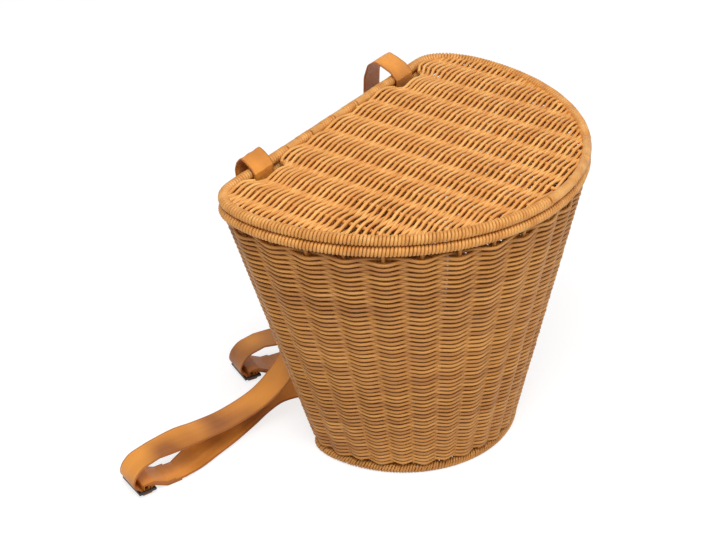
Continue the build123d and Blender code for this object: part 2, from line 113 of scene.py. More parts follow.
def linear(hex_colour: str) -> tuple[float, float, float, float]:
    """Turns an sRGB hex colour to linear values.

    Args:
        hex_colour: six hex digits, as in "C8925A".

    Returns:
        Red, green, blue and alpha, linear.
    """
    values = [int(hex_colour[place:place + 2], 16) / 255 for place in (0, 2, 4)]
    red, green, blue = [v / 12.92 if v <= 0.04045 else ((v + 0.055) / 1.055) ** 2.4 for v in values]
    return red, green, blue, 1.0


def add_node(tree: NodeTree, kind: str, inputs: dict | None = None, **settings) -> Node:
    """Adds one shader node with its settings, values and links.

    Args:
        tree: the node tree.
        kind: the node's type name, without the ShaderNode at its start.
        inputs: for each input name or number, a value, or the output or the node to link.
        **settings: the node's own settings.

    Returns:
        The new node.
    """
    node = tree.nodes.new("ShaderNode" + kind)
    for name, value in settings.items():
        setattr(node, name, value)
    for name, value in (inputs or {}).items():
        if isinstance(value, (Node, NodeSocket)):
            source = value.outputs[0] if isinstance(value, Node) else value
            tree.links.new(source, node.inputs[name])
        else:
            node.inputs[name].default_value = value
    return node


def set_ramp(node: Node, stops: list[tuple[float, str]]) -> None:
    """Gives a colour ramp its stops.

    Args:
        node: the colour ramp.
        stops: place and hex colour of each stop, in order.
    """
    ramp = node.color_ramp
    while len(ramp.elements) < len(stops):
        ramp.elements.new(1.0)
    for element, (place, colour) in zip(ramp.elements, stops):
        element.position = place
        element.color = linear(colour)


def new_material(name: str) -> tuple[Material, NodeTree]:
    """Makes an empty material.

    Args:
        name: the material's name.

    Returns:
        The material and its node tree.
    """
    material = bpy.data.materials.new(name)
    material.use_nodes = True
    material.node_tree.nodes.clear()
    return material, material.node_tree


@dataclass(frozen=True)
class WickerFinish:
    """Extruded polyethylene strand: satin skin, each row a shade apart from the next."""

    # Extruded and drawn plastic gives a soft highlight along each strand and no wood pores

    name: str
    shade: str
    middle: str
    light: str
    patch: tuple[float, float, float]
    roughness: float = 0.44
    gloss_change: float = 0.06
    grain: float = 0.5 * MM

    def build(self) -> Material:
        """Builds the strand material.

        Returns:
            The material.
        """
        material, tree = new_material(self.name)
        place = add_node(tree, "TexCoord").outputs["Object"]
        stretch = [1 / size for size in self.patch]
        mapped = add_node(tree, "Mapping", {"Vector": place, "Scale": stretch})
        tint = add_node(tree, "TexNoise", {"Vector": mapped, "Scale": 1.0, "Detail": 2.0})
        ramp = add_node(tree, "ValToRGB", {"Fac": tint})
        set_ramp(ramp, [(0.34, self.shade), (0.5, self.middle), (0.66, self.light)])
        grain = add_node(tree, "TexNoise", {"Vector": place, "Scale": 1 / self.grain, "Detail": 3.0})
        bump = add_node(tree, "Bump", {"Height": grain, "Strength": 0.25, "Distance": 0.1 * MM})
        gloss = add_node(tree, "MapRange", {
            "Value": tint,
            "To Min": self.roughness + self.gloss_change,
            "To Max": self.roughness - self.gloss_change,
        })
        shader = add_node(tree, "BsdfPrincipled", {
            "Base Color": ramp, "Roughness": gloss, "IOR": 1.5, "Normal": bump,
        })
        add_node(tree, "OutputMaterial", {"Surface": shader})
        return material


@dataclass(frozen=True)
class WebbingFinish:
    """Woven polyester webbing: satin chevron ribs with painted sheen and shade, darker along both edges."""

    # The broad light and dark areas are painted satin sheen and painted shade, laid as a random cloud; the
    # ribs are drawn 1.5 mm apart, coarser than real ones, so that they show

    name: str = "woven_polyester_webbing"
    shade: str = "A45E1A"
    light: str = "F29E3C"
    edge: str = "9C5614"
    rib: float = 1.5 * MM
    fold: float = 3.0 * MM
    painted_sheen_cloud: float = 45.0 * MM
    border_from: float = 0.44
    border_to: float = 0.47

    def build(self) -> Material:
        """Builds the webbing material on the strap's own UV map, in metres across and along.

        Returns:
            The material.
        """
        material, tree = new_material(self.name)
        flat = add_node(tree, "UVMap", uv_map="Strap")
        split = add_node(tree, "SeparateXYZ", {0: flat})
        across = add_node(tree, "Math", {0: split.outputs[0]}, operation="ABSOLUTE")
        folded = add_node(tree, "Math", {0: across, 1: self.fold}, operation="PINGPONG")
        chevron = add_node(tree, "Math", {0: folded, 1: split.outputs[1]}, operation="ADD")
        turns = add_node(tree, "Math", {0: chevron, 1: 2 * math.pi / self.rib}, operation="MULTIPLY")
        rib = add_node(tree, "Math", {0: turns}, operation="SINE")
        place = add_node(tree, "TexCoord").outputs["Object"]
        # Painted satin sheen and shade: a broad random cloud between the dark and the light colour
        painted_sheen_cloud = add_node(tree, "TexNoise", {"Vector": place, "Scale": 1 / self.painted_sheen_cloud, "Detail": 1.0})
        ramp = add_node(tree, "ValToRGB", {"Fac": painted_sheen_cloud})
        set_ramp(ramp, [(0.35, self.shade), (0.65, self.light)])
        # Painted shade in the rib grooves: the colour is darkened where the ribs' bump is low
        weave = add_node(tree, "MapRange", {
            "Value": rib, "From Min": -1.0, "To Min": 0.86, "To Max": 1.0,
        })
        rib_groove_shaded = add_node(
            tree, "Mix", {0: 1.0, 6: ramp, 7: weave}, data_type="RGBA", blend_type="MULTIPLY",
        )
        border = add_node(tree, "MapRange", {
            "Value": across, "From Min": self.border_from * WEBBING_WIDTH,
            "From Max": self.border_to * WEBBING_WIDTH, "To Max": 0.75,
        })
        colour = add_node(
            tree, "Mix", {0: border, 6: rib_groove_shaded.outputs[2], 7: linear(self.edge)}, data_type="RGBA",
        )
        bump = add_node(tree, "Bump", {"Height": rib, "Strength": 0.5, "Distance": 0.12 * MM})
        shader = add_node(tree, "BsdfPrincipled", {
            "Base Color": colour.outputs[2], "Roughness": 0.42, "IOR": 1.45, "Sheen Weight": 0.04,
            "Sheen Roughness": 0.4, "Normal": bump,
        })
        add_node(tree, "OutputMaterial", {"Surface": shader})
        return material


@dataclass(frozen=True)
class MouldedFinish:
    """Moulded nylon or coated wire: one colour with a fine satin grain."""

    # A moulded or dipped skin gives a near-even colour with a dull highlight

    name: str
    colour: str
    highlight: str
    roughness: float
    grain: float = 0.35 * MM

    def build(self) -> Material:
        """Builds the moulded material.

        Returns:
            The material.
        """
        material, tree = new_material(self.name)
        place = add_node(tree, "TexCoord").outputs["Object"]
        grain = add_node(tree, "TexNoise", {"Vector": place, "Scale": 1 / self.grain, "Detail": 2.0})
        ramp = add_node(tree, "ValToRGB", {"Fac": grain})
        set_ramp(ramp, [(0.4, self.colour), (0.7, self.highlight)])
        bump = add_node(tree, "Bump", {"Height": grain, "Strength": 0.2, "Distance": 0.05 * MM})
        shader = add_node(tree, "BsdfPrincipled", {
            "Base Color": ramp, "Roughness": self.roughness, "IOR": 1.53, "Normal": bump,
        })
        add_node(tree, "OutputMaterial", {"Surface": shader})
        return material


def select_only(piece: Object) -> None:
    """Selects one object alone and makes it active.

    Args:
        piece: the object.
    """
    bpy.ops.object.select_all(action="DESELECT")
    piece.select_set(True)
    bpy.context.view_layer.objects.active = piece


def add_mesh(name: str, shape: Callable, **settings) -> Object:
    """Adds one of Blender's ready meshes under a name.

    Args:
        name: the piece's name.
        shape: the call that adds the mesh.
        **settings: what the call is given.

    Returns:
        The mesh object.
    """
    bpy.ops.object.select_all(action="DESELECT")
    shape(**settings)
    piece = bpy.context.view_layer.objects.active
    piece.name = name
    piece.data.name = name
    return piece


def apply_modifier(piece: Object, kind: str, **settings) -> None:
    """Adds a modifier with its settings and applies it.

    Args:
        piece: the mesh object.
        kind: the modifier's type.
        **settings: the modifier's own settings.
    """
    select_only(piece)
    modifier = piece.modifiers.new(kind.title(), kind)
    for name, value in settings.items():
        setattr(modifier, name, value)
    bpy.ops.object.modifier_apply(modifier=modifier.name)


def round_edges(
    piece: Object, width: float, segments: int = 3, sharp: float = 30.0, smooth: float = 40.0,
) -> None:
    """Rounds a piece's edges and shades it smooth.

    Args:
        piece: the mesh object.
        width: the width of the rounding.
        segments: how many facets it gets.
        sharp: the angle in degrees from which an edge is rounded.
        smooth: the angle in degrees up to which faces are shaded as one.
    """
    apply_modifier(
        piece, "BEVEL", width=width, segments=segments, limit_method="ANGLE",
        angle_limit=math.radians(sharp),
    )
    select_only(piece)
    bpy.ops.object.shade_smooth_by_angle(angle=math.radians(smooth))


def strands(name: str, lines: list[list[Vector]], diameter: float, closed: bool = False) -> Object:
    """Makes round strands along lines, as one mesh.

    Args:
        name: the piece's name.
        lines: the points of each strand's centre line.
        diameter: the strands' diameter.
        closed: whether each strand joins its own start.

    Returns:
        The mesh object.
    """
    curve = bpy.data.curves.new(name, "CURVE")
    curve.dimensions = "3D"
    curve.bevel_depth = diameter / 2
    curve.bevel_resolution = 1
    curve.use_fill_caps = True
    for line in lines:
        spline = curve.splines.new("POLY")
        spline.points.add(len(line) - 1)
        spline.points.foreach_set("co", [value for point in line for value in (*point, 1.0)])
        spline.use_cyclic_u = closed
        spline.use_smooth = True
    piece = bpy.data.objects.new(name, curve)
    bpy.context.scene.collection.objects.link(piece)
    select_only(piece)
    bpy.ops.object.convert(target="MESH")
    piece = bpy.context.view_layer.objects.active
    piece.data.name = name
    return piece


def dress(piece: Object, material: Material, body: Body, slot: Slot, *nodes: str) -> None:
    """Gives a piece its material, the body it rides on and the CAD nodes it stands for.

    Args:
        piece: the mesh object.
        material: its finish.
        body: the body that it moves with.
        slot: the record's material slot; not used.
        *nodes: CAD nodes that it replaces.
    """
    piece.data.materials.clear()
    piece.data.materials.append(material)
    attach(piece, body.value)
    if nodes:
        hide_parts(*nodes)
    LOG.info("%s: %d faces on %s", piece.name, len(piece.data.polygons), body.value)


def wave(bays: float) -> float:
    """How far a weaver stands to one side, from -1 to 1, at a count of stakes passed."""
    return 0.93 * math.cos(math.pi * bays) + 0.07 * math.cos(3 * math.pi * bays)


def ease(share: float) -> float:
    """A smooth step from 0 to 1."""
    share = min(max(share, 0.0), 1.0)
    return share * share * (3 - 2 * share)


def wander(*place: float) -> float:
    """Smooth irregularity from about -1 to 1 at a place in a pattern."""
    padded = list(place) + [0.0] * (3 - len(place))
    return noise.noise(Vector(padded))


@dataclass(frozen=True)
class Outline:
    """The D outline of the hoops: straight back, rounded corners, bowed sides and front."""

    width: float
    depth: float

    @property
    def back(self) -> float:
        """How far the straight back lies behind the middle."""
        return self.depth / 2

    @cached_property
    def arcs(self) -> list[tuple[float, float]]:
        """The stretches of the right half, from the middle of the back.

        Returns:
            Length and radius of each; radius 0 is straight.
        """
        corner_turn = math.radians(CORNER_TURN)
        side_turn = math.radians(SIDE_TURN)
        s1, c1 = math.sin(corner_turn), math.cos(corner_turn)
        s12, c12 = math.sin(corner_turn + side_turn), math.cos(corner_turn + side_turn)
        half = self.width / 2
        front_share = (1 + c12) / s12
        side_factor = (c1 - c12) - front_share * (1 - s12)
        side_radius = (self.depth - CORNER_RADIUS * (1 - c1) - front_share * half) / side_factor
        front_radius = (half - side_radius * (1 - s12)) / s12
        straight = half - CORNER_RADIUS * s1 - side_radius * (1 - s1)
        front_turn = math.pi - corner_turn - side_turn
        return [
            (straight, 0.0),
            (CORNER_RADIUS * corner_turn, CORNER_RADIUS),
            (side_radius * side_turn, side_radius),
            (front_radius * front_turn, front_radius),
        ]

    @cached_property
    def length(self) -> float:
        """The whole length of the outline."""
        return 2 * sum(length for length, _ in self.arcs)

    def at(self, distance: float) -> tuple[Vector, Vector]:
        """Finds a place on the outline.

        Args:
            distance: how far round from the middle of the back, towards +X first.

        Returns:
            The place and the outward direction, level.
        """
        distance %= self.length
        mirrored = distance > self.length / 2
        left = self.length - distance if mirrored else distance
        x, y, heading = 0.0, self.back, 0.0
        for length, radius in self.arcs:
            step = min(left, length)
            if radius == 0.0:
                x += step
            else:
                middle_x = x + radius * math.sin(heading)
                middle_y = y - radius * math.cos(heading)
                heading -= step / radius
                x = middle_x - radius * math.sin(heading)
                y = middle_y + radius * math.cos(heading)
            left -= step
            if left <= 0:
                break
        side = -1 if mirrored else 1
        return Vector((side * x, y, 0)), Vector((-side * math.sin(heading), math.cos(heading), 0))

    def front_end(self, x: float, inset: float, back: float, step: float) -> float:
        """Steps forward along a line until it meets the inset outline.

        Args:
            x: the line's place from side to side.
            inset: how far inside the outline to stop.
            back: where to start.
            step: the length of a step.

        Returns:
            The y at the front.
        """
        front = back
        while front > -self.back and (front > 0 or self.half_width(front, inset) > abs(x)):
            front -= step
        return front

    def half_width(self, y: float, inset: float) -> float:
        """Finds half the width of the inset outline at a depth.

        Args:
            y: the depth.
            inset: how far inside the outline.

        Returns:
            Half the width, or 0 outside the outline.
        """
        if abs(y) > self.back - inset:
            return 0.0
        low, high = self.arcs[0][0], self.length / 2
        for _ in range(24):
            middle = (low + high) / 2
            place, outward = self.at(middle)
            if (place - outward * inset).y > y:
                low = middle
            else:
                high = middle
        place, outward = self.at(low)
        return (place - outward * inset).x


@dataclass
class WovenWall:
    """The wall: stakes all round and one weaver that spirals up them."""

    outline: Outline
    foot: float
    top: float
    back: float
    rows: int = WALL_ROWS
    steps: int = 8
    pitch_ratio: float = 1.16
    swing: float = 3.5 * MM
    sag: float = 1.3 * MM
    parting: float = 1.6 * MM

    def scale_at(self, height: float) -> float:
        """How much smaller than the hoop the wall is at a height."""
        share = (height - self.foot) / (self.top - self.foot)
        return WALL_FOOT_SCALE + (WALL_TOP_SCALE - WALL_FOOT_SCALE) * share

    def bay_side(self, bays: float, height: float) -> float:
        """How far to the side of the middle a bay of the back lies."""
        return bays * self.scale_at(height) * self.outline.length / STAKE_COUNT

    def row_height(self, row: float) -> float:
        """Finds how high the weaver lies; its rows stand closer near the foot.

        Args:
            row: how many rows it has made.

        Returns:
            The height.
        """
        low = self.foot + STRAND_DIAMETER / 2
        high = self.top - STRAND_DIAMETER / 2
        mean = (high - low) / self.rows
        first = 2 * mean / (1 + self.pitch_ratio)
        gain = first * (self.pitch_ratio - 1) / self.rows
        return low + first * row + gain * row * row / 2

    def strand_point(self, bays: float) -> Vector:
        """Finds a point of the weaver's centre line.

        Args:
            bays: how many bays it has passed.

        Returns:
            The point.
        """
        row = bays / STAKE_COUNT
        height = self.row_height(row)
        around = bays % STAKE_COUNT
        place, outward = self.outline.at(self.outline.length * around / STAKE_COUNT)
        swing = self.swing * (1 + 0.1 * wander(bays * 0.9, row * 0.7))
        spot = place * self.scale_at(height) + outward * (swing * wave(bays))
        near_top = ease((row - self.rows + 7) / 7)
        height -= self.sag * (0.25 + near_top) * math.cos(2 * math.pi * bays) / 2
        height += 0.28 * MM * wander(around * 1.7, row * 0.45, 3.0)
        height += self.parting_at(spot, height)
        return Vector((spot.x, spot.y, height))

    def parting_at(self, spot: Vector, height: float) -> float:
        """Finds how far the rows part to let a strap's lower end through.

        Args:
            spot: where the strand lies, from above.
            height: its height.

        Returns:
            How far it moves up or down.
        """
        aside = abs(abs(spot.x) - self.bay_side(LOWER_END_BAY, LOWER_END_HEIGHT))
        rise = height - LOWER_END_HEIGHT
        reach = 6 * self.parting
        if spot.y < 0 or aside > LOWER_END_WIDTH or abs(rise) > reach:
            return 0.0
        share = ease(2 * (1 - aside / LOWER_END_WIDTH)) * (1 - abs(rise) / reach)
        return math.copysign(self.parting * share, rise)

    def build(self, finish: Material) -> None:
        """Builds the weaver in two runs and the stakes, and dresses them.

        Args:
            finish: the strands' material.
        """
        steps = self.rows * STAKE_COUNT * self.steps
        points = [self.strand_point(step / self.steps) for step in range(steps + 1)]
        middle = steps // 2
        lower = strands("wall_weave_lower", [points[:middle + 1]], STRAND_DIAMETER)
        upper = strands("wall_weave_upper", [points[middle:]], STRAND_DIAMETER)
        stake_lines = []
        for index in range(STAKE_COUNT):
            place, _ = self.outline.at(self.outline.length * index / STAKE_COUNT)
            heights = (BORDER_RADIUS, self.foot, self.top, self.top + RIM_GAP + WHIPPING_RADIUS / 2)
            line = [place * self.scale_at(height) + Vector((0, 0, height)) for height in heights]
            stake_lines.append(line)
        stakes = strands("wall_stakes", stake_lines, STAKE_DIAMETER)
        for piece in (lower, upper, stakes):
            dress(piece, finish, Body.BASKET, Slot.WEAVE, "wall")


@dataclass
class Whipping:
    """A strand wound round a hoop, with smooth stretches where it lies along and is only tied."""

    name: str
    outline: Outline
    height: float
    body: Body
    slot: Slot
    node: str
    scale: float = 1.0
    outer: float = WHIPPING_RADIUS
    strand: float = 2.75 * MM
    pitch: float = 2.85 * MM
    starts: int = 1
    steps: int = 12
    unrest: float = 0.12
    smooth: list[tuple[float, float]] = field(default_factory=list)
    ties: list[tuple[float, int]] = field(default_factory=list)

    def point(self, distance: float, angle: float, radius: float) -> Vector:
        """Finds a point round the hoop.

        Args:
            distance: how far along the hoop.
            angle: the angle about it, from outwards.
            radius: how far from its centre line.

        Returns:
            The point.
        """
        place, outward = self.outline.at(distance / self.scale)
        place = place * self.scale
        rise = Vector((0, 0, self.height + radius * math.sin(angle)))
        return place + outward * (radius * math.cos(angle)) + rise

    def turn(self, start: float, turns: float, phase: float) -> list[Vector]:
        """One wound run of the strand.

        Args:
            start: where it begins along the hoop.
            turns: how many turns it makes.
            phase: the angle at its start.

        Returns:
            The points of its centre line.
        """
        radius = self.outer - self.strand / 2
        lead = self.pitch * self.starts
        points = []
        for step in range(round(turns * self.steps) + 1):
            count = step / self.steps
            distance = start + lead * count
            drift = self.unrest * self.pitch * wander(distance / (7 * MM), phase)
            swell = radius * (1 + 0.02 * wander(distance / (4 * MM), 5.0))
            points.append(self.point(distance + drift, phase - 2 * math.pi * count, swell))
        return points

    def build(self, finish: Material) -> None:
        """Builds the wound strand, its smooth stretches and ties, and dresses them.

        Args:
            finish: the strands' material.
        """
        whole = self.outline.length * self.scale
        lead = whole / round(whole / (self.pitch * self.starts))
        self.pitch = lead / self.starts
        runs = self.wound_runs(whole)
        lines = []
        for start, stop in runs:
            for index in range(self.starts):
                lines.append(self.turn(start, (stop - start) / lead, 2 * math.pi * index / self.starts))
        for place, turns in self.ties:
            lines.append(self.turn(place - turns * self.pitch / 2, turns, -0.5 * math.pi))
        wound = strands(self.name, lines, self.strand)
        dress(wound, finish, self.body, self.slot, self.node)
        for index, (start, stop) in enumerate(self.smooth):
            count = round((stop - start) / (5 * MM))
            line = []
            for step in range(count + 1):
                distance = start + (stop - start) * step / count
                line.append(self.point(distance, 0.0, 0.0))
            laid = strands(f"{self.name}_laid_{index + 1}", [line], 2 * self.outer - 0.7 * MM)
            dress(laid, finish, self.body, self.slot)

    def wound_runs(self, whole: float) -> list[tuple[float, float]]:
        """Lists the stretches between the smooth ones.

        Args:
            whole: the hoop's length.

        Returns:
            Start and stop of each, from the middle of the back.
        """
        if not self.smooth:
            return [(0.0, whole)]
        runs = []
        for index, (_, stop) in enumerate(self.smooth):
            following = self.smooth[(index + 1) % len(self.smooth)][0]
            if following <= stop:
                following += whole
            runs.append((stop, following))
        return runs


@dataclass
class LidMat:
    """The lid: stakes from back to front, weavers from side to side, bowed round the strap loops."""

    outline: Outline
    height: float
    loop_side: float
    rows: int = LID_ROWS
    pitch: float = 2.53 * MM
    strand: float = 2.85 * MM
    stake: float = 3.0 * MM
    steps: int = 8
    inset: float = 2.5 * MM
    notch_half: float = 15.0 * MM
    notch_depth: float = 14.6 * MM
    search: float = 1.0 * MM
    follow: float = 0.12
    follow_from: int = 56
    follow_most: float = 5.0 * MM
    fan_side: float = 40.0 * MM
    fan_most: float = 7.0 * MM

    @property
    def first_row(self) -> float:
        """How far back the first row lies."""
        return self.outline.back - WHIPPING_RADIUS - SEAT_GAP - self.strand / 2

    def row_line(self, row: int) -> list[list[Vector]]:
        """The centre lines of one row, cut where a strap loop comes through.

        Args:
            row: counted from the back.

        Returns:
            One or more runs of points.
        """
        level = self.first_row - row * self.pitch
        step = LID_STAKE_PITCH / self.steps
        reach = int(self.outline.width / 2 / step) + 1
        runs: list[list[Vector]] = [[]]
        for index in range(-reach, reach + 1):
            x = index * step
            y = level + self.bend(x, row)
            room = self.outline.half_width(y, self.inset) - abs(x)
            y, parted = self.round_notch(x, y)
            if room < -step or (parted and row < 2):
                if runs[-1]:
                    runs.append([])
                continue
            fade = ease((room + step) / (3 * step))
            swing = ((self.stake + self.strand) / 2) * (1 + 0.08 * wander(x / (30 * MM), row * 0.8))
            lift = swing * wave(x / LID_STAKE_PITCH + row) * fade
            drift = 0.25 * MM * wander(x / (25 * MM), row * 0.5, 7.0)
            runs[-1].append(Vector((x, y + drift, self.height + lift)))
        return [run for run in runs if len(run) > 2]

    def bend(self, x: float, row: int) -> float:
        """Finds how far a row leaves its straight line: front rows follow the rim, left ends fan out.

        Args:
            x: the place from side to side.
            row: counted from the back.

        Returns:
            How far back the point moves.
        """
        follow = self.follow * ease((row - self.follow_from) / (self.rows - self.follow_from))
        front = min(abs(x), 0.9 * self.outline.width / 2)
        radius = self.outline.arcs[-1][1]
        rim = radius - math.sqrt(max(radius ** 2 - front ** 2, 0.0))
        fan = 0.0
        if x < -self.fan_side:
            amount = ease((row - 34) / 16) * (1 - ease((row - 66) / 12))
            fan = -self.fan_most * amount * ((-x - self.fan_side) / (100 * MM)) ** 2
        return min(follow * rim, self.follow_most) + fan

    def round_notch(self, x: float, y: float) -> tuple[float, bool]:
        """Pushes a point forward round a strap loop.

        Args:
            x: its place from side to side.
            y: its place from front to back.

        Returns:
            The new y, and whether x lies at a loop.
        """
        aside = abs(abs(x) - self.loop_side)
        share = 1 - ease((aside - self.notch_half) / (12 * MM))
        start = self.outline.back - 40 * MM
        if y < start:
            return y, False
        room = self.outline.back - self.notch_depth - self.strand / 2 - start
        span = self.first_row - 2 * self.pitch - start
        pushed = start + (y - start) * room / span
        return y + (pushed - y) * share, aside < self.notch_half + self.strand / 2

    def build(self, finish: Material) -> None:
        """Builds the weavers and stakes and dresses them.

        Args:
            finish: the strands' material.
        """
        lines = []
        for row in range(self.rows):
            lines += self.row_line(row)
        weavers = strands("lid_weavers", lines, self.strand)
        dress(weavers, finish, Body.LID, Slot.LID_WEAVE, "lid_panel")
        stake_lines = []
        count = int(self.outline.arcs[0][0] / LID_STAKE_PITCH)
        for index in range(-count, count + 1):
            x = index * LID_STAKE_PITCH
            back = self.outline.back - self.inset
            front = self.outline.front_end(x, self.inset, back, self.search)
            drop = self.notch_depth if abs(abs(x) - self.loop_side) < self.notch_half else 0.0
            stake_lines.append([Vector((x, back - drop, self.height)), Vector((x, front, self.height))])
        stakes = strands("lid_stakes", stake_lines, self.stake)
        dress(stakes, finish, Body.LID, Slot.LID_WEAVE, "lid_panel")


@dataclass
class BaseMat:
    """The woven base inside the foot border."""

    outline: Outline
    rows: int = 52
    strand: float = 2.2 * MM
    stake: float = 1.8 * MM
    stake_pitch: float = 20.0 * MM
    height: float = 3.2 * MM
    steps: int = 6
    search: float = 1.0 * MM

    def half_width(self, y: float, inset: float) -> float:
        """Half the width of the foot's outline at a depth; the inset is of the full-size outline."""
        return self.outline.half_width(y / WALL_FOOT_SCALE, inset) * WALL_FOOT_SCALE

    def build(self, finish: Material) -> None:
        """Builds the base's weavers and stakes and dresses them.

        Args:
            finish: the strands' material.
        """
        inset = BORDER_RADIUS / WALL_FOOT_SCALE
        depth = (self.outline.depth - 2 * inset) * WALL_FOOT_SCALE
        step = self.stake_pitch / self.steps
        lines = []
        for row in range(self.rows):
            y = depth * ((row + 0.5) / self.rows - 0.5)
            half = self.half_width(y, inset)
            reach = int(half / step)
            line = []
            for index in range(-reach, reach + 1):
                x = index * step
                lift = (self.stake + self.strand) / 2 * wave(x / self.stake_pitch + row)
                line.append(Vector((x, y, self.height + lift)))
            if len(line) > 2:
                lines.append(line)
        room = self.outline.width / 2 * WALL_FOOT_SCALE - 2 * BORDER_RADIUS
        count = int(room / self.stake_pitch)
        for index in range(-count, count + 1):
            x = index * self.stake_pitch
            front = -depth / 2
            while front < 0 and self.half_width(front, inset) < abs(x):
                front += self.search
            lines.append([Vector((x, front, self.height)), Vector((x, depth / 2, self.height))])
        mat = strands("base_weave", lines, self.strand)
        dress(mat, finish, Body.BASKET, Slot.WEAVE, "base_panel")


@dataclass(frozen=True)
class Station:
    """One cross-section of a strap: its place, the direction across it and its width."""

    place: Vector
    across: Vector
    width: float = WEBBING_WIDTH


def rounded(rows: list[tuple[float, float, float]], pieces: int = 8) -> list[tuple[float, float]]:
    """Rounds a flat line's corners.

    Args:
        rows: place and bend radius of each corner; the end rows have no bend.
        pieces: how many short lengths each bend gets.

    Returns:
        The points of the rounded line.
    """
    points = [rows[0][:2]]
    for before, here, after in zip(rows, rows[1:], rows[2:]):
        corner = Vector(here[:2])
        back = (Vector(before[:2]) - corner).normalized()
        ahead = (Vector(after[:2]) - corner).normalized()
        half = back.angle(ahead) / 2
        reach = here[2] / math.tan(half)
        middle = corner + (back + ahead).normalized() * (here[2] / math.sin(half))
        start = corner + back * reach - middle
        stop = corner + ahead * reach - middle
        sweep = start.angle_signed(stop)
        for step in range(pieces + 1):
            angle = -sweep * step / pieces
            turned = Vector((
                start.x * math.cos(angle) - start.y * math.sin(angle),
                start.x * math.sin(angle) + start.y * math.cos(angle),
            ))
            points.append(tuple(middle + turned))
    points.append(rows[-1][:2])
    return points


def smooth_rows(rows: list[tuple[float, ...]], steps: int) -> list[tuple[float, ...]]:
    """Joins rows of numbers by a smooth curve through each of them.

    Args:
        rows: the rows.
        steps: how many short lengths lie between two rows.

    Returns:
        The rows and those between them.
    """
    result = []
    for index in range(len(rows) - 1):
        before = rows[max(index - 1, 0)]
        here, there = rows[index], rows[index + 1]
        after = rows[min(index + 2, len(rows) - 1)]
        for step in range(steps):
            share = step / steps
            row = []
            for a, b, c, d in zip(before, here, there, after):
                bend = (2 * a - 5 * b + 4 * c - d) * share ** 2
                twist = (3 * b - a - 3 * c + d) * share ** 3
                row.append(b + ((c - a) * share + bend + twist) / 2)
            result.append(tuple(row))
    return result + [tuple(rows[-1])]


